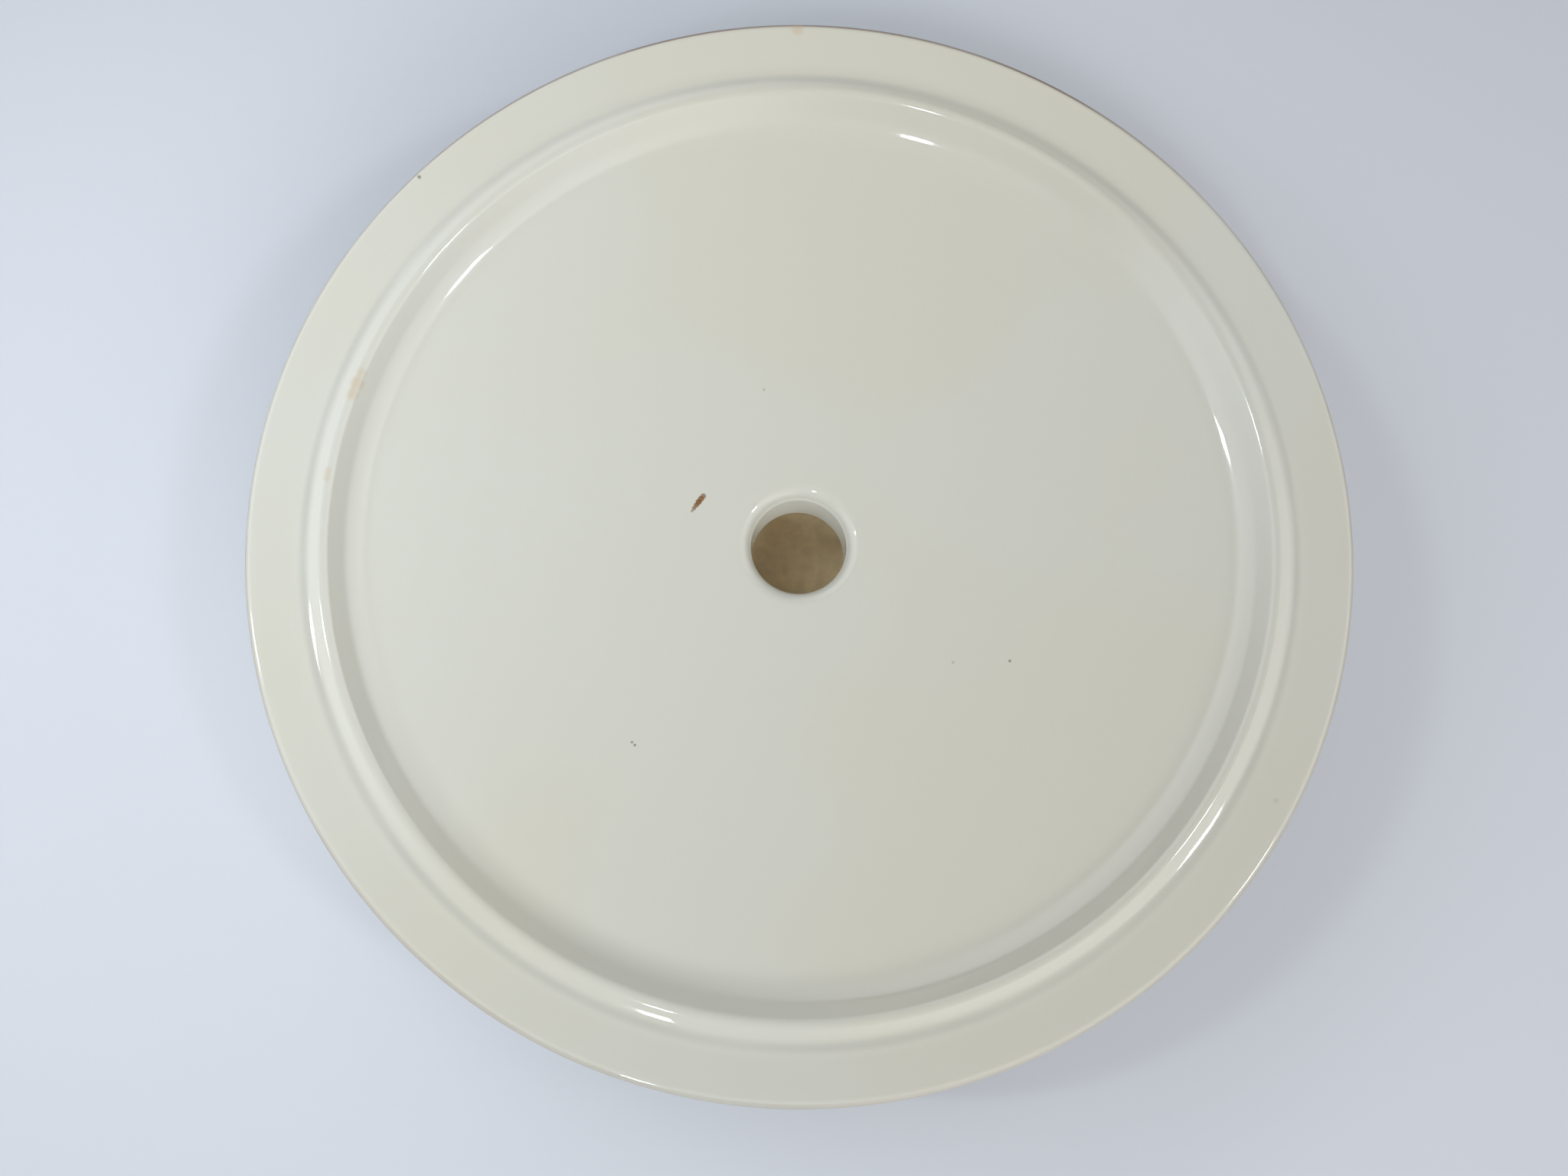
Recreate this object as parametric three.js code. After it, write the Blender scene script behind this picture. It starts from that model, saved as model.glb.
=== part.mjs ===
// Lid of a round covered vegetable dish, in glazed ivory pottery, lying upside down on its knob.
// Millimetres, +Z up. The origin is the middle of the knob's flat end, which the lid stands on.
// The potter makes two pieces and joins them with a third: the cover, pressed with its flange and
// verge in one; the hollow knob, cast apart; and the slip that lutes the knob's foot to the cover.

import * as THREE from "three";

// Cover, measured on its hollow side, which is glazed smooth and faces up
const LID_DIAMETER = 225;
const COVER_WALL = 4.2;
const DOME_RADIUS = 470;
const FLANGE_WIDTH = 11;
const FLANGE_RISE = 3.5;
const EDGE_THICKNESS = 4;
const EDGE_TOP_ROUND = 1.4;
const EDGE_UNDER_ROUND = 1.9;

// Verge, the ridge that locates the lid inside the bowl's rim, measured inwards from the flange
const VERGE_OUTER_RUN = 3.3;
const VERGE_CREST_WIDTH = 1.3;
const VERGE_INNER_RUN = 4.7;
const VERGE_HEIGHT_OUTSIDE = 1.25;
const VERGE_HEIGHT_INSIDE = 6;
const CREST_ROUND = 2;
const BASE_FILLET = 8;
const FOOT_FILLET = 9.5;
const SHOULDER_ROUND = 8;

// Hole through the cover and the knob's neck
const BORE_DIAMETER = 20.8;
const LIP_ROUND = 3.2;

// Hollow knob, measured up from its flat end
const KNOB_HEIGHT = 27.4;
const KNOB_DIAMETER = 42;
const KNOB_HEAD_HEIGHT = 21;
const KNOB_HEAD_ROUND = 8.5;
const NECK_DIAMETER = 28.8;
const NECK_FILLET = 2.6;
const KNOB_FOOT_DIAMETER = 35;
const KNOB_FOOT_EDGE = 1.1;
const KNOB_END_WALL = 4.6;
const KNOB_SIDE_WALL = 4.5;
const KNOB_SHOULDER_WALL = 3.5;
const CAVITY_ROUND = 6;
const BORE_END_ROUND = 0.8;
const DIMPLE_DIAMETER = 9.6;
const DIMPLE_DEPTH = 0.9;
const DIMPLE_SLOPE_WIDTH = 2.2;
const DIMPLE_ROUND = 3;

// Luting slip between the knob's foot and the cover
const SLIP_THICKNESS = 0.5;
const SLIP_COVE = 1.8;

// Fineness of the revolved surfaces, and how much of a side its two roundings may use
const COVER_SIDES = 96;
const KNOB_SIDES = 48;
const ARC_STEP = THREE.MathUtils.degToRad(24);
const DOME_STEPS = 6;
const SIDE_USE = 0.98;

const boreRadius = BORE_DIAMETER / 2;
const knobFootRadius = KNOB_FOOT_DIAMETER / 2;
const seatHeight = KNOB_HEIGHT + SLIP_THICKNESS;

const GLAZE = new THREE.MeshStandardMaterial({ color: 0xd9d5c6, roughness: 0.08, metalness: 0 });
const SLIP = new THREE.MeshStandardMaterial({ color: 0xdedacb, roughness: 0.25, metalness: 0 });

// The two sides of each corner, half the angle between them, and how far its rounding would reach.
function measuredCorners(corners, closed) {
  const count = corners.length;
  return corners.map(([x, y, rounding = 0], i) => {
    const place = new THREE.Vector2(x, y);
    const [beforeX, beforeY] = corners[(i + count - 1) % count];
    const [afterX, afterY] = corners[(i + 1) % count];
    const before = new THREE.Vector2(beforeX, beforeY).sub(place);
    const after = new THREE.Vector2(afterX, afterY).sub(place);
    const isEnd = !closed && (i === 0 || i === count - 1);
    const halfAngle = before.angleTo(after) / 2;
    const reach = isEnd ? 0 : rounding / Math.tan(halfAngle);
    return { place, before, after, halfAngle, reach };
  });
}

// The outline through the given corners. A corner is [distance from the axis, height, rounding]. Two
// roundings that don't fit on the side between them are made smaller by the same share.
function roundedOutline(corners, closed) {
  const measured = measuredCorners(corners, closed);
  const count = corners.length;
  const points = [];
  measured.forEach(({ place, before, after, halfAngle, reach }, i) => {
    if (reach <= 0) {
      points.push(place);
      return;
    }
    const reachBefore = measured[(i + count - 1) % count].reach;
    const reachAfter = measured[(i + 1) % count].reach;
    const roomBefore = (before.length() * SIDE_USE) / (reach + reachBefore);
    const roomAfter = (after.length() * SIDE_USE) / (reach + reachAfter);
    const setBack = reach * Math.min(1, roomBefore, roomAfter);
    const radius = setBack * Math.tan(halfAngle);
    const towardsBefore = before.clone().normalize();
    const towardsAfter = after.clone().normalize();
    const middle = towardsBefore.clone().add(towardsAfter).normalize();
    const centre = place.clone().addScaledVector(middle, radius / Math.sin(halfAngle));
    const first = place.clone().addScaledVector(towardsBefore, setBack).sub(centre);
    const last = place.clone().addScaledVector(towardsAfter, setBack).sub(centre);
    const turn = Math.atan2(first.cross(last), first.dot(last));
    const steps = Math.max(2, Math.ceil(Math.abs(turn) / ARC_STEP));
    for (let step = 0; step <= steps; step += 1) {
      const angle = (turn * step) / steps;
      points.push(first.clone().rotateAround(new THREE.Vector2(), angle).add(centre));
    }
  });
  return points;
}

// A solid of revolution about +Z. A closed outline runs anticlockwise and meets itself.
function revolved(name, outline, closed, sides, material) {
  const points = closed ? [...outline, outline[0].clone()] : outline;
  const geometry = new THREE.LatheGeometry(points, sides).rotateX(Math.PI / 2);
  const mesh = new THREE.Mesh(geometry, material);
  mesh.name = name;
  return mesh;
}

// Height of a dome surface at a distance from the axis, where it is `thickness` outside the inner one.
function domeHeight(distance, thickness) {
  const radius = DOME_RADIUS + thickness;
  const centreHeight = seatHeight + COVER_WALL + DOME_RADIUS;
  return centreHeight - Math.sqrt(radius * radius - distance * distance);
}

// Corners along a dome surface between two distances from the axis, without its two ends.
function domeCorners(from, to, thickness) {
  const corners = [];
  for (let step = 1; step < DOME_STEPS; step += 1) {
    const distance = from + ((to - from) * step) / DOME_STEPS;
    corners.push([distance, domeHeight(distance, thickness)]);
  }
  return corners;
}

// The cover: a shallow dome with a rounded hole at its middle, the verge, and the flange outside it.
function makeCover() {
  const lidRadius = LID_DIAMETER / 2;
  const baseRadius = lidRadius - FLANGE_WIDTH;
  const crestOuter = baseRadius - VERGE_OUTER_RUN;
  const crestInner = crestOuter - VERGE_CREST_WIDTH;
  const footRadius = crestInner - VERGE_INNER_RUN;
  const seatRadius = knobFootRadius + SLIP_COVE;

  const footHeight = domeHeight(footRadius, 0);
  const crestHeight = footHeight + VERGE_HEIGHT_INSIDE;
  const baseHeight = crestHeight - VERGE_HEIGHT_OUTSIDE;
  const edgeHeight = baseHeight + FLANGE_RISE;

  // The outside follows the inside: it turns half a wall further out at each corner.
  const shoulderTop = (crestOuter + crestInner + COVER_WALL) / 2;
  const shoulderFoot = footRadius + COVER_WALL / 2;
  const flangeSlope = FLANGE_RISE / FLANGE_WIDTH;
  const underFlange = edgeHeight - EDGE_THICKNESS - flangeSlope * (lidRadius - shoulderTop);

  const outline = roundedOutline(
    [
      [boreRadius, seatHeight],
      [seatRadius, seatHeight],
      ...domeCorners(seatRadius, shoulderFoot, COVER_WALL),
      [shoulderFoot, domeHeight(shoulderFoot, COVER_WALL), SHOULDER_ROUND],
      [shoulderTop, underFlange, SHOULDER_ROUND],
      [lidRadius, edgeHeight - EDGE_THICKNESS, EDGE_UNDER_ROUND],
      [lidRadius, edgeHeight, EDGE_TOP_ROUND],
      [baseRadius, baseHeight, BASE_FILLET],
      [crestOuter, crestHeight, CREST_ROUND],
      [crestInner, crestHeight, CREST_ROUND],
      [footRadius, footHeight, FOOT_FILLET],
      ...domeCorners(footRadius, boreRadius, 0),
      [boreRadius, domeHeight(boreRadius, 0), LIP_ROUND],
    ],
    true,
  );
  return revolved("cover", outline, true, COVER_SIDES, GLAZE);
}

// The knob: a flattened head on a neck, hollow inside, with a dimple in the floor of its cavity. The
// cavity is wider than the neck's bore, so its roof hangs over it all round.
function makeKnob() {
  const headRadius = KNOB_DIAMETER / 2;
  const neckRadius = NECK_DIAMETER / 2;
  const cavityRadius = headRadius - KNOB_SIDE_WALL;
  const cavityRoof = KNOB_HEAD_HEIGHT - KNOB_SHOULDER_WALL;
  const dimpleRadius = DIMPLE_DIAMETER / 2;
  const dimpleFloor = KNOB_END_WALL - DIMPLE_DEPTH;
  const footEdgeHeight = KNOB_HEIGHT - KNOB_FOOT_EDGE;
  const headTop = KNOB_HEAD_HEIGHT - NECK_FILLET;

  const outline = roundedOutline(
    [
      [0, 0],
      [headRadius, 0, KNOB_HEAD_ROUND],
      [headRadius, headTop, KNOB_HEAD_ROUND],
      [neckRadius, KNOB_HEAD_HEIGHT, NECK_FILLET],
      [neckRadius, footEdgeHeight, NECK_FILLET],
      [knobFootRadius, footEdgeHeight, KNOB_FOOT_EDGE / 2],
      [knobFootRadius, KNOB_HEIGHT],
      [boreRadius, KNOB_HEIGHT],
      [boreRadius, cavityRoof, BORE_END_ROUND],
      [cavityRadius, cavityRoof, CAVITY_ROUND],
      [cavityRadius, KNOB_END_WALL, CAVITY_ROUND],
      [dimpleRadius, KNOB_END_WALL, DIMPLE_ROUND],
      [dimpleRadius - DIMPLE_SLOPE_WIDTH, dimpleFloor, DIMPLE_ROUND],
      [0, dimpleFloor],
    ],
    false,
  );
  return revolved("knob", outline, false, KNOB_SIDES, GLAZE);
}

// The luting slip: a thin bed between the knob's foot and the cover, sponged to a cove outside it.
function makeLutingSlip() {
  const outline = roundedOutline(
    [
      [boreRadius, KNOB_HEIGHT],
      [knobFootRadius, KNOB_HEIGHT],
      [knobFootRadius + SLIP_COVE / 3, KNOB_HEIGHT + SLIP_THICKNESS / 2],
      [knobFootRadius + SLIP_COVE, seatHeight],
      [boreRadius, seatHeight],
    ],
    true,
  );
  return revolved("luting_slip", outline, true, KNOB_SIDES, SLIP);
}

const lid = new THREE.Group();
lid.add(makeCover(), makeKnob(), makeLutingSlip());

export default lid;
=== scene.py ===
import math

import bpy
from mathutils import Matrix, Vector


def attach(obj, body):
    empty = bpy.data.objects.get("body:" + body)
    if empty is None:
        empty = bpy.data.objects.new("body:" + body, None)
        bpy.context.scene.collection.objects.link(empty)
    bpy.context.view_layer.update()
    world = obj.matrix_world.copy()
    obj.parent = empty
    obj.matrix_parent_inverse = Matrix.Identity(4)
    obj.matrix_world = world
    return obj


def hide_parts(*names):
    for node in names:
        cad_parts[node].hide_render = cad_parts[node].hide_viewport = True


MM = 0.001

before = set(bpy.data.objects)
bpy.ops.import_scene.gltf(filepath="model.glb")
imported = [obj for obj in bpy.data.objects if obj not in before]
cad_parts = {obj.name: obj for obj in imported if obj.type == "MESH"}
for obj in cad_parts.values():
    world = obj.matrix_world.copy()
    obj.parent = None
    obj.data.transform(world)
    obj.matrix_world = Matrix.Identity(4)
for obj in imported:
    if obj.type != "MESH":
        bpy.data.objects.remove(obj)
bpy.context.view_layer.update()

# Cover
LID_RADIUS = 112.5
COVER_WALL = 4.2
DOME_RADIUS = 470
FLANGE_WIDTH = 11
FLANGE_RISE = 3.5
EDGE_THICKNESS = 4
EDGE_TOP_ROUND = 1.4
EDGE_UNDER_ROUND = 1.9

# Verge, measured inwards from the flange
VERGE_OUTER_RUN = 3.3
VERGE_CREST_WIDTH = 1.3
VERGE_INNER_RUN = 4.7
VERGE_HEIGHT_OUTSIDE = 1.25
VERGE_HEIGHT_INSIDE = 6
CREST_ROUND = 2
BASE_FILLET = 8
FOOT_FILLET = 9.5
SHOULDER_ROUND = 8

# Hole, knob and luting slip
BORE_RADIUS = 10.4
LIP_ROUND = 3.2
KNOB_HEIGHT = 27.4
KNOB_RADIUS = 21
KNOB_HEAD_HEIGHT = 21
KNOB_HEAD_ROUND = 8.5
NECK_RADIUS = 14.4
NECK_FILLET = 2.6
KNOB_FOOT_RADIUS = 17.5
KNOB_FOOT_EDGE = 1.1
KNOB_END_WALL = 4.6
KNOB_SIDE_WALL = 4.5
KNOB_SHOULDER_WALL = 3.5
CAVITY_ROUND = 6
BORE_END_ROUND = 0.8
DIMPLE_RADIUS = 4.8
DIMPLE_DEPTH = 0.9
DIMPLE_SLOPE_WIDTH = 2.2
DIMPLE_ROUND = 3
SLIP_THICKNESS = 0.5
SLIP_COVE = 1.8

# Fineness of the surfaces, and the room that the dome's points leave for the roundings at its ends
COVER_SIDES = 512
KNOB_SIDES = 256
ARC_STEP = math.radians(4)
DOME_STEP = 3.0
DOME_END_ROOM = 4.5
SHARP_ANGLE = math.radians(40)
SIDE_USE = 0.98

# How far the hole lies off the middle, and the distance from the axis where that ends
HOLE_SHIFT = (-0.25, -0.6)
HOLE_SHIFT_ENDS = 45

# How the rim wavers: the waves round it, their height or share of the radius, and their start
RIM_LIFTS = ((2, 0.11, 0.7), (3, 0.05, 2.1))
RIM_SHRINK = (2, 0.0006, 1.9)

# Points closer to the axis than this lie on it
ON_AXIS = 1e-6

CAVITY_RADIUS = KNOB_RADIUS - KNOB_SIDE_WALL
SEAT_HEIGHT = KNOB_HEIGHT + SLIP_THICKNESS
DOME_FLOOR = SEAT_HEIGHT + COVER_WALL


# Shapes

def rounded_outline(corners, closed):
    """The outline through corners of [distance from the axis, height, rounding], with fine arcs.

    Two roundings that don't fit on the side between them are made smaller by the same share.
    """
    places = [Vector(corner[:2]) for corner in corners]
    count = len(corners)
    bends = []
    reaches = []
    for i, (corner, place) in enumerate(zip(corners, places)):
        before = places[i - 1] - place
        after = places[(i + 1) % count] - place
        is_end = not closed and i in (0, count - 1)
        rounding = 0 if is_end or len(corner) < 3 else corner[2]
        half_angle = before.angle(after) / 2
        bends.append((before, after, half_angle))
        reaches.append(rounding / math.tan(half_angle))

    points = []
    for i, (place, (before, after, half_angle)) in enumerate(zip(places, bends)):
        reach = reaches[i]
        if reach <= 0:
            points.append(place)
            continue
        room_before = before.length * SIDE_USE / (reach + reaches[i - 1])
        room_after = after.length * SIDE_USE / (reach + reaches[(i + 1) % count])
        set_back = reach * min(1, room_before, room_after)
        radius = set_back * math.tan(half_angle)
        middle = (before.normalized() + after.normalized()).normalized()
        centre = place + middle * radius / math.sin(half_angle)
        first = place + before.normalized() * set_back - centre
        last = place + after.normalized() * set_back - centre
        turn = math.atan2(first.x * last.y - first.y * last.x, first.dot(last))
        steps = max(2, math.ceil(abs(turn) / ARC_STEP))
        for step in range(steps + 1):
            angle = turn * step / steps
            points.append(Matrix.Rotation(angle, 2) @ first + centre)
    return points


def wavering(x, y, z):
    """Where a point of a perfect revolve lies on the hand-finished lid.

    The rim is up to 0.2 mm off true, and the hole, cut by hand, is a little off the middle.
    """
    azimuth = math.atan2(y, x)
    distance = math.hypot(x, y)
    share = min(1, distance / LID_RADIUS)
    lift = sum(height * math.sin(waves * azimuth + start) for waves, height, start in RIM_LIFTS)
    waves, most, start = RIM_SHRINK
    shrink = 1 - most * (1 + math.sin(waves * azimuth + start))
    scale = 1 - share + share * shrink
    off_middle = min(1, max(0, (HOLE_SHIFT_ENDS - distance) / (HOLE_SHIFT_ENDS - CAVITY_RADIUS)))
    across, along = HOLE_SHIFT
    return x * scale + across * off_middle, y * scale + along * off_middle, z + lift * share ** 2


def revolve(name, outline, closed, sides, material):
    """A smooth closed skin round +Z. Points on the axis become single vertices."""
    vertices = []
    rings = []
    for point in outline:
        count = 1 if point.x < ON_AXIS else sides
        ring = []
        for side in range(count):
            angle = 2 * math.pi * side / sides
            ring.append(len(vertices))
            x, y, z = wavering(point.x * math.cos(angle), point.x * math.sin(angle), point.y)
            vertices.append((x * MM, y * MM, z * MM))
        rings.append(ring)
    pairs = list(zip(rings, rings[1:]))
    if closed:
        pairs.append((rings[-1], rings[0]))
    faces = []
    for lower, upper in pairs:
        for side in range(sides):
            following = (side + 1) % sides
            corners = [lower[side % len(lower)], lower[following % len(lower)],
                       upper[following % len(upper)], upper[side % len(upper)]]
            face = list(dict.fromkeys(corners))
            if len(face) > 2:
                faces.append(face)
    mesh = bpy.data.meshes.new(name)
    mesh.from_pydata(vertices, [], faces)
    mesh.shade_smooth()
    mesh.set_sharp_from_angle(angle=SHARP_ANGLE)
    mesh.materials.append(material)
    piece = bpy.data.objects.new(name, mesh)
    bpy.context.scene.collection.objects.link(piece)
    return piece


def dome_height(distance, thickness):
    """Height of a dome surface, `thickness` outside the inner one, at a distance from the axis."""
    radius = DOME_RADIUS + thickness
    return DOME_FLOOR + DOME_RADIUS - math.sqrt(radius ** 2 - distance ** 2)


def dome_corners(start, end, thickness):
    """Corners along a dome surface between two distances from the axis, clear of its two ends."""
    inwards = math.copysign(DOME_END_ROOM, end - start)
    first = start + inwards
    last = end - inwards
    steps = math.ceil(abs(last - first) / DOME_STEP)
    distances = [first + (last - first) * step / steps for step in range(steps + 1)]
    return [(distance, dome_height(distance, thickness)) for distance in distances]


def make_cover(material):
    """The cover: dome, verge and flange, with the rounded hole at its middle."""
    base_radius = LID_RADIUS - FLANGE_WIDTH
    crest_outer = base_radius - VERGE_OUTER_RUN
    crest_inner = crest_outer - VERGE_CREST_WIDTH
    foot_radius = crest_inner - VERGE_INNER_RUN
    seat_radius = KNOB_FOOT_RADIUS + SLIP_COVE

    foot_height = dome_height(foot_radius, 0)
    crest_height = foot_height + VERGE_HEIGHT_INSIDE
    base_height = crest_height - VERGE_HEIGHT_OUTSIDE
    edge_height = base_height + FLANGE_RISE

    shoulder_top = (crest_outer + crest_inner) / 2 + COVER_WALL / 2
    shoulder_foot = foot_radius + COVER_WALL / 2
    flange_slope = FLANGE_RISE / FLANGE_WIDTH
    under_flange = edge_height - EDGE_THICKNESS - flange_slope * (LID_RADIUS - shoulder_top)

    outline = rounded_outline([
        (BORE_RADIUS, SEAT_HEIGHT),
        (seat_radius, SEAT_HEIGHT),
        *dome_corners(seat_radius, shoulder_foot, COVER_WALL),
        (shoulder_foot, dome_height(shoulder_foot, COVER_WALL), SHOULDER_ROUND),
        (shoulder_top, under_flange, SHOULDER_ROUND),
        (LID_RADIUS, edge_height - EDGE_THICKNESS, EDGE_UNDER_ROUND),
        (LID_RADIUS, edge_height, EDGE_TOP_ROUND),
        (base_radius, base_height, BASE_FILLET),
        (crest_outer, crest_height, CREST_ROUND),
        (crest_inner, crest_height, CREST_ROUND),
        (foot_radius, foot_height, FOOT_FILLET),
        *dome_corners(foot_radius, BORE_RADIUS, 0),
        (BORE_RADIUS, dome_height(BORE_RADIUS, 0), LIP_ROUND),
    ], True)
    return revolve("cover_glazed", outline, True, COVER_SIDES, material)


def make_knob(material):
    """The hollow knob, with its cavity and the dimple in the cavity's floor."""
    cavity_roof = KNOB_HEAD_HEIGHT - KNOB_SHOULDER_WALL
    dimple_floor = KNOB_END_WALL - DIMPLE_DEPTH
    foot_edge_height = KNOB_HEIGHT - KNOB_FOOT_EDGE
    outline = rounded_outline([
        (0, 0),
        (KNOB_RADIUS, 0, KNOB_HEAD_ROUND),
        (KNOB_RADIUS, KNOB_HEAD_HEIGHT - NECK_FILLET, KNOB_HEAD_ROUND),
        (NECK_RADIUS, KNOB_HEAD_HEIGHT, NECK_FILLET),
        (NECK_RADIUS, foot_edge_height, NECK_FILLET),
        (KNOB_FOOT_RADIUS, foot_edge_height, KNOB_FOOT_EDGE / 2),
        (KNOB_FOOT_RADIUS, KNOB_HEIGHT),
        (BORE_RADIUS, KNOB_HEIGHT),
        (BORE_RADIUS, cavity_roof, BORE_END_ROUND),
        (CAVITY_RADIUS, cavity_roof, CAVITY_ROUND),
        (CAVITY_RADIUS, KNOB_END_WALL, CAVITY_ROUND),
        (DIMPLE_RADIUS, KNOB_END_WALL, DIMPLE_ROUND),
        (DIMPLE_RADIUS - DIMPLE_SLOPE_WIDTH, dimple_floor, DIMPLE_ROUND),
        (0, dimple_floor),
    ], False)
    return revolve("knob_glazed", outline, False, KNOB_SIDES, material)


def make_luting_slip(material):
    """The slip under the knob's foot, sponged to a cove round it."""
    outline = rounded_outline([
        (BORE_RADIUS, KNOB_HEIGHT),
        (KNOB_FOOT_RADIUS, KNOB_HEIGHT),
        (KNOB_FOOT_RADIUS + SLIP_COVE / 3, KNOB_HEIGHT + SLIP_THICKNESS / 2, SLIP_COVE),
        (KNOB_FOOT_RADIUS + SLIP_COVE, SEAT_HEIGHT),
        (BORE_RADIUS, SEAT_HEIGHT),
    ], True)
    return revolve("luting_slip_glazed", outline, True, KNOB_SIDES, material)


# Materials

class Shader:
    """The nodes of a material or a world, with a short call for each.

    An input is a plain value or another node's socket.
    """

    def __init__(self, owner):
        owner.use_nodes = True
        self.tree = owner.node_tree

    def node(self, kind, inputs=None, **settings):
        made = self.tree.nodes.new(kind)
        for name, value in settings.items():
            setattr(made, name, value)
        self.feed(made, inputs or {})
        return made

    def feed(self, node, inputs):
        for name, value in inputs.items():
            if isinstance(value, bpy.types.NodeSocket):
                self.tree.links.new(value, node.inputs[name])
            else:
                node.inputs[name].default_value = value

    def place(self):
        return self.node("ShaderNodeTexCoord").outputs["Object"]

    def noise(self, size, detail, roughness=0.5):
        """Noise from 0 to 1, with features of about `size` millimetres."""
        made = self.node("ShaderNodeTexNoise", {
            "Vector": self.place(), "Scale": 1 / (size * MM), "Detail": detail, "Roughness": roughness})
        return made.outputs["Fac"]

    def ramp(self, value, low, high, start=0.0, end=1.0):
        """`value` from low to high becomes start to end, smoothly, and stays there outside."""
        made = self.node("ShaderNodeMapRange", {
            "Value": value, "From Min": low, "From Max": high, "To Min": start, "To Max": end},
            interpolation_type="SMOOTHSTEP")
        return made.outputs["Result"]

    def math(self, operation, first, second):
        made = self.node("ShaderNodeMath", {0: first, 1: second}, operation=operation)
        return made.outputs[0]

    def pattern(self, size, detail, roughness, low, high, start, end):
        """Noise whose values from low to high become start to end."""
        return self.ramp(self.noise(size, detail, roughness), low, high, start, end)

    def mix(self, share, first, second):
        """A mix of two colours, which are this node's inputs 6 and 7 and its output 2."""
        made = self.node("ShaderNodeMix", {0: share, 6: first, 7: second}, data_type="RGBA")
        return made.outputs[2]

    def near(self, place, reach, soft):
        """1 within `reach` millimetres of a place, falling to 0 over `soft` more."""
        distance = self.node("ShaderNodeVectorMath", {0: self.place(), 1: Vector(place) * MM},
                             operation="DISTANCE").outputs["Value"]
        return self.ramp(distance, (reach + soft) * MM, reach * MM)

    def radius(self, shift=0):
        """Distance in metres from the lid's axis, or from a line `shift` millimetres along Y from it."""
        flat = self.node("ShaderNodeVectorMath", {0: self.place(), 1: (1, 1, 0)}, operation="MULTIPLY")
        middle = (0, shift * MM, 0)
        return self.node("ShaderNodeVectorMath", {0: flat.outputs[0], 1: middle},
                         operation="DISTANCE").outputs["Value"]

    def along(self, axis):
        """Distance along "X", "Y" or "Z" from the origin, in metres."""
        return self.node("ShaderNodeSeparateXYZ", {0: self.place()}).outputs[axis]

    def inside(self, radius, low, high, soft):
        """1 inside a round can on the axis, between two heights, falling to 0 over `soft` outside it."""
        height = self.along("Z")
        within = self.ramp(self.radius(), (radius + soft) * MM, radius * MM)
        above = self.ramp(height, (low - soft) * MM, low * MM)
        below = self.ramp(height, (high + soft) * MM, high * MM)
        return self.math("MULTIPLY", within, self.math("MULTIPLY", above, below))


def colour(red, green, blue):
    """A linear colour from display values of 0 to 255, by the sRGB curve."""
    def linear(value):
        value = value / 255
        return value / 12.92 if value <= 0.04045 else ((value + 0.055) / 1.055) ** 2.4
    return (linear(red), linear(green), linear(blue), 1)


IVORY = colour(198, 196, 187)
IVORY_WARM = colour(197, 193, 179)
IVORY_COOL = colour(197, 197, 190)
# The grey of the painted shade in the crease outside the verge
CREASE_SHADE_COLOUR = colour(166, 165, 158)
# Painted light: the bore's glaze made paler than the rest
BORE_PAINTED_LIGHT = colour(234, 235, 229)
BARE_CLAY = colour(214, 193, 151)
THIN_GLAZE = colour(158, 140, 116)
# Warm dark of the rim's edge: part thin glaze, part painted shade
EDGE_WEAR_AND_SHADE = colour(134, 116, 106)
IRON_SPECK = colour(70, 60, 48)
IRON_STAIN = colour(186, 160, 128)
IRON_PAINT = colour(116, 74, 26)

# Marks on the hollow side, each a list of spots: place, full reach, soft edge and strength
SPECKS = [
    ((43.9, -26.3, 34.9), 0.15, 0.3, 0.6),
    ((32.1, -26.5, 33.9), 0.1, 0.4, 0.3),
    ((-35.0, -43.2, 35.4), 0.15, 0.25, 0.6),
    ((-34.4, -43.8, 35.4), 0.15, 0.25, 0.7),
    ((-7.8, 33.8, 33.4), 0.1, 0.4, 0.3),
    ((-81.1, 75.6, 48.5), 0.3, 0.4, 0.8),
    ((92.8, -55.6, 47.8), 0.3, 0.5, 0.15),
]
STAINS = [
    ((-91.3, 32.6, 47.1), 0.4, 1.2, 0.35),
    ((-92.1, 30.3, 47.1), 0.7, 1.4, 0.45),
    ((-92.9, 27.9, 47.1), 0.5, 1.3, 0.4),
    ((-97.0, 11.4, 47.1), 0.3, 0.9, 0.3),
    ((-97.2, 10.0, 47.1), 0.3, 0.9, 0.3),
    ((-0.4, 111.0, 48.5), 0.6, 1.3, 0.45),
]
BRUSH_TICK = [
    ((-20.9, 9.9, 32.7), 0.45, 0.3, 0.75),
    ((-21.4, 9.3, 32.7), 0.5, 0.3, 0.85),
    ((-21.9, 8.6, 32.7), 0.5, 0.3, 0.9),
    ((-22.4, 7.9, 32.7), 0.4, 0.3, 0.85),
    ((-22.9, 7.2, 32.7), 0.3, 0.3, 0.75),
    ((-23.3, 6.6, 32.7), 0.15, 0.3, 0.6),
]

# Patterns: the noise's size in millimetres, detail and roughness, the values between which the
# pattern rises, and its level below and above them
TINT = (70, 1.0, 0.5, 0.35, 0.65, 0, 1)
TINT_SHARE = 0.5
MOTTLE = (5, 3.0, 0.6, 0.3, 0.8, 0, 0.12)
CREASE_PATCHES = (35, 2.0, 0.5, 0.25, 0.65, 0.55, 1)
EDGE_PATCHES = (30, 3.0, 0.5, 0.4, 0.65, 0.7, 1)
CLAY_MOTTLE = (3, 3.0, 0.6, 0.3, 0.7, 0, 0.3)
GLOSS = (9, 2.0, 0.5, 0.3, 0.7, 0.045, 0.075)

# Painted shade in the crease outside the verge: a grey ring a little off the axis, only above
# CREASE_FLOOR
CREASE_RADIUS = 101.1
CREASE_SHIFT = -0.7
CREASE_REACH = 1.6
CREASE_FULL = 0.1
CREASE_FLOOR = 44.5
CREASE_FLOOR_SOFT = 0.5
CREASE_STRENGTH = 0.5
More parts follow.
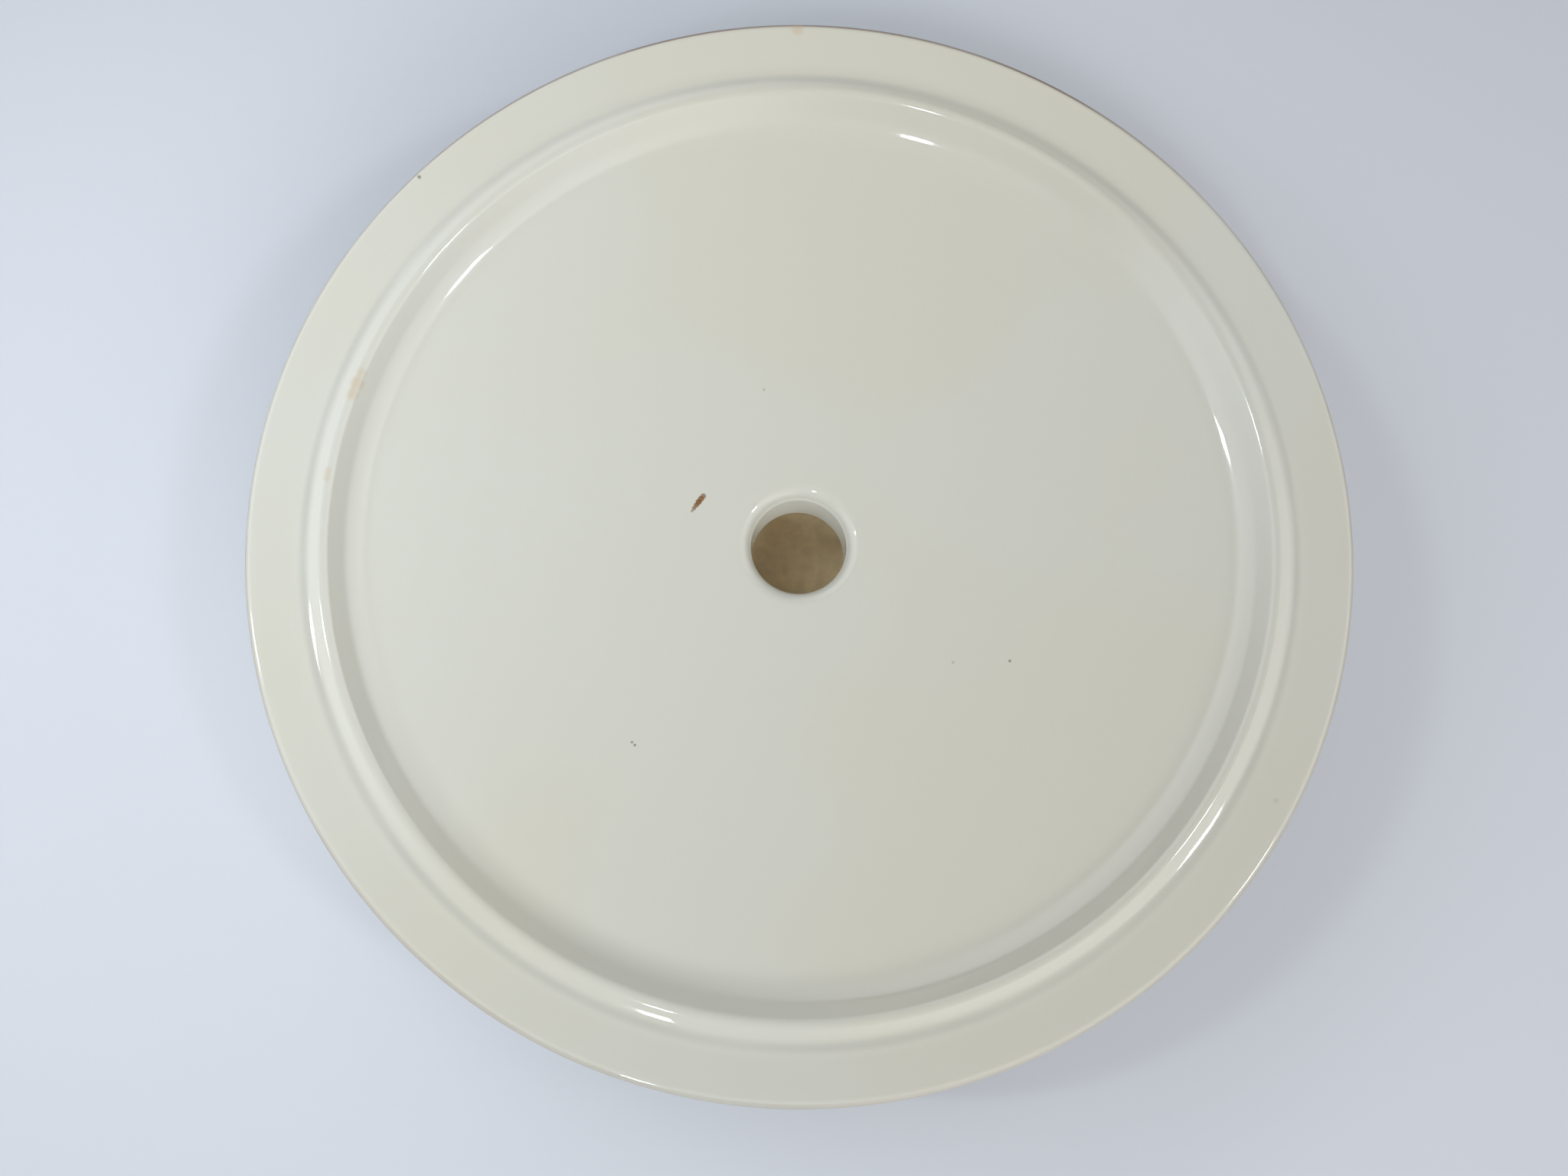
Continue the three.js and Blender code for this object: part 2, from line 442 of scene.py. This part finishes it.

# Where the rim's edge is darkened, partly by the clay's colour through thin glaze and partly by painted
# shade on the far edge: in full behind EDGE_BACK, less in front of EDGE_FRONT
EDGE_RADIUS = 111.2
EDGE_SOFT = 0.4
EDGE_FRONT = 60
EDGE_BACK = 100
EDGE_FRONT_STRENGTH = 0.25

# The bore's glaze painted paler, as painted light on its wall, and the bare clay below it in the cavity
BORE_LIGHT_RADIUS = BORE_RADIUS + 0.9
BORE_LIGHT_TOP = KNOB_HEIGHT + 2.2
BORE_LIGHT_SOFT = 1.2
BARE_RADIUS = CAVITY_RADIUS + 0.8
BARE_BELOW = 16.2
BARE_ABOVE = 3.0
BARE_SOFT = 2.2
BARE_ROUGHNESS = 0.5

# The glaze's relief, a slow roll with a fine skin on it, and how strongly it bends light
ROLL_SIZE = 22
ROLL_DETAIL = 1.0
SKIN_SIZE = 2.5
SKIN_DETAIL = 2.0
SKIN_SHARE = 0.05
RELIEF = 0.045
GLAZE_IOR = 1.5


def ivory(shader):
    """Ivory glaze with slow shifts of tint and a faint mottle."""
    tint = shader.mix(shader.pattern(*TINT), IVORY_COOL, IVORY_WARM)
    base = shader.mix(TINT_SHARE, IVORY, tint)
    return shader.mix(shader.pattern(*MOTTLE), base, IVORY_WARM)


def with_spots(shader, base, spots, shade):
    """Small round marks of one shade."""
    for place, reach, soft, strength in spots:
        share = shader.math("MULTIPLY", shader.near(place, reach, soft), strength)
        base = shader.mix(share, base, shade)
    return base


def with_crease_shade(shader, base):
    """A grey line of painted shade in the crease outside the verge, in patches."""
    past_line = shader.math("SUBTRACT", shader.radius(CREASE_SHIFT), CREASE_RADIUS * MM)
    distance = shader.math("ABSOLUTE", past_line, 0)
    line = shader.ramp(distance, CREASE_REACH * MM, CREASE_FULL * MM, 0, CREASE_STRENGTH)
    floor_ends = CREASE_FLOOR + CREASE_FLOOR_SOFT
    hollow_side = shader.ramp(shader.along("Z"), CREASE_FLOOR * MM, floor_ends * MM)
    patchy = shader.pattern(*CREASE_PATCHES)
    share = shader.math("MULTIPLY", shader.math("MULTIPLY", line, hollow_side), patchy)
    return shader.mix(share, base, CREASE_SHADE_COLOUR)


def with_worn_and_shaded_edge(shader, base):
    """The clay's warm colour through thin glaze on the rim's edge, in patches, with painted shade that
    makes it darkest at the back.
    """
    edge = shader.ramp(shader.radius(), EDGE_RADIUS * MM, (EDGE_RADIUS + EDGE_SOFT) * MM)
    patchy = shader.pattern(*EDGE_PATCHES)
    back = shader.ramp(shader.along("Y"), EDGE_FRONT * MM, EDGE_BACK * MM, EDGE_FRONT_STRENGTH, 1)
    share = shader.math("MULTIPLY", edge, shader.math("MULTIPLY", patchy, back))
    return shader.mix(share, base, EDGE_WEAR_AND_SHADE)


def glaze(name):
    """Clear glossy glaze on ivory pottery, which stops at the knob's hollow and leaves its clay bare.
    Shade in the crease and on the rim's far edge, and light in the bore, are painted into its colour.
    """
    material = bpy.data.materials.new(name)
    shader = Shader(material)
    base = ivory(shader)
    # Painted shade: a grey line in the crease outside the verge.
    base = with_crease_shade(shader, base)
    # Partly painted shade: the rim's edge is darkest at the back.
    base = with_worn_and_shaded_edge(shader, base)
    base = with_spots(shader, base, SPECKS, IRON_SPECK)
    base = with_spots(shader, base, STAINS, IRON_STAIN)
    base = with_spots(shader, base, BRUSH_TICK, IRON_PAINT)
    # Painted light: the bore's wall is paler, standing in for light falling into the hole.
    bore = shader.inside(BORE_LIGHT_RADIUS, BARE_BELOW, BORE_LIGHT_TOP, BORE_LIGHT_SOFT)
    base = shader.mix(bore, base, BORE_PAINTED_LIGHT)
    bare = shader.inside(BARE_RADIUS, BARE_ABOVE, BARE_BELOW, BARE_SOFT)
    clay = shader.mix(shader.pattern(*CLAY_MOTTLE), BARE_CLAY, THIN_GLAZE)
    base = shader.mix(bare, base, clay)
    roll = shader.noise(ROLL_SIZE, ROLL_DETAIL)
    skin = shader.math("MULTIPLY", shader.noise(SKIN_SIZE, SKIN_DETAIL), SKIN_SHARE)
    height = shader.math("ADD", roll, skin)
    bump = shader.node("ShaderNodeBump", {"Strength": 1, "Distance": RELIEF * MM, "Height": height})
    rough_clay = shader.math("MULTIPLY", bare, BARE_ROUGHNESS)
    shader.feed(shader.tree.nodes["Principled BSDF"], {
        "Base Color": base,
        "Roughness": shader.math("ADD", shader.pattern(*GLOSS), rough_clay),
        "IOR": GLAZE_IOR,
        "Normal": bump.outputs["Normal"],
    })
    return material


# Stage

FLOOR_COLOUR = colour(203, 206, 214)
FLOOR_ROUGHNESS = 0.9
BACKDROP_COLOUR = colour(226, 229, 235)
SKY_COLOUR = colour(250, 252, 255)

# The sky's level at the horizon and overhead, and between which heights of a ray it fades
SKY_LEVEL = 0.25
SKY_ABOVE = 0.05
SKY_FADE_FROM = 0.1
SKY_FADE_TO = 0.9

# Broad glows in the sky: level, direction, and how squarely a ray faces it where it starts and is full
ROOM_GLOW = (0.1, (-0.76, 0.55, 0.34), 0.25, 0.85)
RIGHT_GLOW = (1.8, (0.95, -0.31, 0), 0.1, 0.6)
LEFT_GLOW = (2.0, (-0.87, 0.5, 0), 0.2, 0.7)

# The glows that the glaze mirrors are bands, by the height of their rays: none, full, full, none
RIGHT_BAND = (0.1, 0.35, 0.8, 0.9)
LEFT_BAND = (0.0, 0.25, 0.75, 0.9)

# The floor lies a hair under the knob's flat end, and fades into the backdrop between two distances
FLOOR_HALF_SIZE = 3000
FLOOR_HEIGHT = -0.05
FLOOR_FADES_FROM = 300
FLOOR_FADES_TO = 900


def floor_material():
    """A matt pale floor, which the camera sees as the backdrop far from the lid."""
    material = bpy.data.materials.new("floor")
    shader = Shader(material)
    surface = shader.tree.nodes["Principled BSDF"]
    shader.feed(surface, {"Base Color": FLOOR_COLOUR, "Roughness": FLOOR_ROUGHNESS})
    far = shader.ramp(shader.radius(), FLOOR_FADES_FROM * MM, FLOOR_FADES_TO * MM)
    seen = shader.node("ShaderNodeLightPath").outputs["Is Camera Ray"]
    backdrop = shader.node("ShaderNodeEmission", {"Color": BACKDROP_COLOUR})
    faded = shader.node("ShaderNodeMixShader", {
        0: shader.math("MULTIPLY", far, seen), 1: surface.outputs[0], 2: backdrop.outputs[0]})
    shader.feed(shader.tree.nodes["Material Output"], {"Surface": faded.outputs[0]})
    return material


def make_floor():
    """A flat square, part of the stage and not of the lid."""
    half = FLOOR_HALF_SIZE * MM
    height = FLOOR_HEIGHT * MM
    mesh = bpy.data.meshes.new("floor")
    corners = [(-half, -half, height), (half, -half, height),
               (half, half, height), (-half, half, height)]
    mesh.from_pydata(corners, [], [(0, 1, 2, 3)])
    mesh.materials.append(floor_material())
    floor = bpy.data.objects.new("floor", mesh)
    bpy.context.scene.collection.objects.link(floor)


def make_world():
    """Soft light, with two bright bands that only the glaze mirrors. The camera sees the backdrop."""
    world = bpy.data.worlds.new("studio")
    shader = Shader(world)
    direction = shader.node("ShaderNodeTexCoord").outputs["Generated"]
    rise = shader.node("ShaderNodeSeparateXYZ", {0: direction}).outputs["Z"]

    def glow(level, middle, starts, full):
        facing = shader.node("ShaderNodeVectorMath", {0: direction, 1: middle}, operation="DOT_PRODUCT")
        return shader.ramp(facing.outputs["Value"], starts, full, 0, level)

    def band(broad, lowest, low, high, highest):
        share = shader.math("MULTIPLY", shader.ramp(rise, lowest, low), shader.ramp(rise, highest, high))
        return shader.math("MULTIPLY", glow(*broad), share)

    fade = shader.ramp(rise, SKY_FADE_FROM, SKY_FADE_TO, SKY_LEVEL, SKY_ABOVE)
    rays = shader.node("ShaderNodeLightPath")
    lit = shader.node("ShaderNodeBackground", {
        "Color": SKY_COLOUR, "Strength": shader.math("ADD", fade, glow(*ROOM_GLOW))})
    bands = shader.math("ADD", band(RIGHT_GLOW, *RIGHT_BAND), band(LEFT_GLOW, *LEFT_BAND))
    mirrored = shader.node("ShaderNodeBackground", {
        "Color": SKY_COLOUR, "Strength": shader.math("ADD", fade, bands)})
    backdrop = shader.node("ShaderNodeBackground", {"Color": BACKDROP_COLOUR})
    unseen = shader.node("ShaderNodeMixShader", {
        0: rays.outputs["Is Glossy Ray"], 1: lit.outputs[0], 2: mirrored.outputs[0]})
    whole = shader.node("ShaderNodeMixShader", {
        0: rays.outputs["Is Camera Ray"], 1: unseen.outputs[0], 2: backdrop.outputs[0]})
    shader.feed(shader.tree.nodes["World Output"], {"Surface": whole.outputs[0]})
    bpy.context.scene.world = world


# Lamps, in metres and watts. The window is a soft square straight above the lid's left side.
LID_MIDDLE = Vector((0, 0, 45 * MM))
WINDOW_PLACE = Vector((-0.18, 0.02, 0.26))
WINDOW_TARGET = Vector((-0.18, 0.02, 0))
WINDOW_SIZE = 0.2
WINDOW_POWER = 0.37
DAYLIGHT = (0.86, 0.94, 1.0)
LAMPLIGHT = (1.0, 0.98, 0.93)

# The others face the lid: name, azimuth, elevation, distance, width, height and power
LAMPS = (
    ("overhead", 0, 89, 0.6, 0.35, 0.35, 0.5),
    ("front", 165, 47, 1.2, 0.7, 0.7, 4.4),
    ("front_low", 150, 36, 1.2, 0.7, 0.5, 2.0),
    ("back", 345, 40, 1.2, 0.7, 0.5, 1.2),
    ("east_low", 95, 30, 1.0, 0.8, 0.4, 1.0),
)
SOFTBOXES = (
    ("wide_softbox", 205, 45, 1.6, 0.9, 0.6, 0.6),
    ("front_softbox", 199.5, 52, 2.0, 0.1, 0.24, 4.5),
    ("right_softbox", 111.5, 52, 2.0, 0.18, 0.2, 4.5),
    ("left_softbox", 277, 52, 2.0, 0.1, 0.24, 4.5),
)


def seen_from_lid(azimuth, elevation, distance):
    """A place in metres, by its direction from the lid's middle. Azimuth is clockwise from +Y."""
    around = math.radians(azimuth)
    above = math.radians(elevation)
    flat = math.cos(above)
    outward = Vector((math.sin(around) * flat, math.cos(around) * flat, math.sin(above)))
    return LID_MIDDLE + outward * distance


def make_lamp(name, place, target, width, height, power, shade, mirrored=False):
    """A soft rectangular lamp, never seen itself, and seen in the glaze only if it is mirrored."""
    lamp = bpy.data.lights.new(name, "AREA")
    lamp.shape = "RECTANGLE"
    lamp.size = width
    lamp.size_y = height
    lamp.energy = power
    lamp.color = shade
    holder = bpy.data.objects.new(name, lamp)
    holder.location = place
    holder.rotation_euler = (place - target).to_track_quat("Z", "Y").to_euler()
    holder.visible_camera = False
    holder.visible_glossy = mirrored
    bpy.context.scene.collection.objects.link(holder)


def make_lights():
    """The window, the plain lamps, and the softboxes that the glaze mirrors."""
    make_lamp("window", WINDOW_PLACE, WINDOW_TARGET, WINDOW_SIZE, WINDOW_SIZE, WINDOW_POWER, DAYLIGHT)
    for lamps, shade, mirrored in ((LAMPS, LAMPLIGHT, False), (SOFTBOXES, DAYLIGHT, True)):
        for name, azimuth, elevation, distance, width, height, power in lamps:
            place = seen_from_lid(azimuth, elevation, distance)
            make_lamp(name, place, LID_MIDDLE, width, height, power, shade, mirrored)


# Camera: above the lid and a little to its front, as the photograph was taken. Its place is measured
# from the middle of the rim, RIM_RING_HEIGHT up, and it looks against CAMERA_BACK.
RIM_RING_HEIGHT = 46.7
CAMERA_PLACE = (-6.87, -59.45, 252.53)
CAMERA_RIGHT = (0.99992, -0.00226, 0.01226)
CAMERA_UP = (0.0, 0.98343, 0.18129)
CAMERA_BACK = (-0.01247, -0.18128, 0.98335)
CAMERA_LENS = 29.127
SENSOR_WIDTH = 36
NEAREST_SEEN = 10


def make_camera():
    """The camera at the photograph's viewing angle."""
    camera = bpy.data.cameras.new("camera")
    camera.sensor_fit = "HORIZONTAL"
    camera.sensor_width = SENSOR_WIDTH
    camera.lens = CAMERA_LENS
    camera.clip_start = NEAREST_SEEN * MM
    holder = bpy.data.objects.new("camera", camera)
    turn = Matrix((CAMERA_RIGHT, CAMERA_UP, CAMERA_BACK)).transposed().to_4x4()
    x, y, above_ring = CAMERA_PLACE
    turn.translation = Vector((x, y, above_ring + RIM_RING_HEIGHT)) * MM
    holder.matrix_world = turn
    bpy.context.scene.collection.objects.link(holder)
    bpy.context.scene.camera = holder


make_camera()
make_world()
make_lights()
make_floor()

ivory_glaze = glaze("ivory_glaze")
slip_glaze = glaze("slip_glaze")
cover = make_cover(ivory_glaze)
knob = make_knob(ivory_glaze)
luting_slip = make_luting_slip(slip_glaze)

for piece, node, slot in ((cover, "cover", "ivory_glaze"),
                          (knob, "knob", "ivory_glaze"),
                          (luting_slip, "luting_slip", "luting_slip")):
    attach(piece, "root")
    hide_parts(node)

bpy.context.scene.view_settings.view_transform = "Standard"
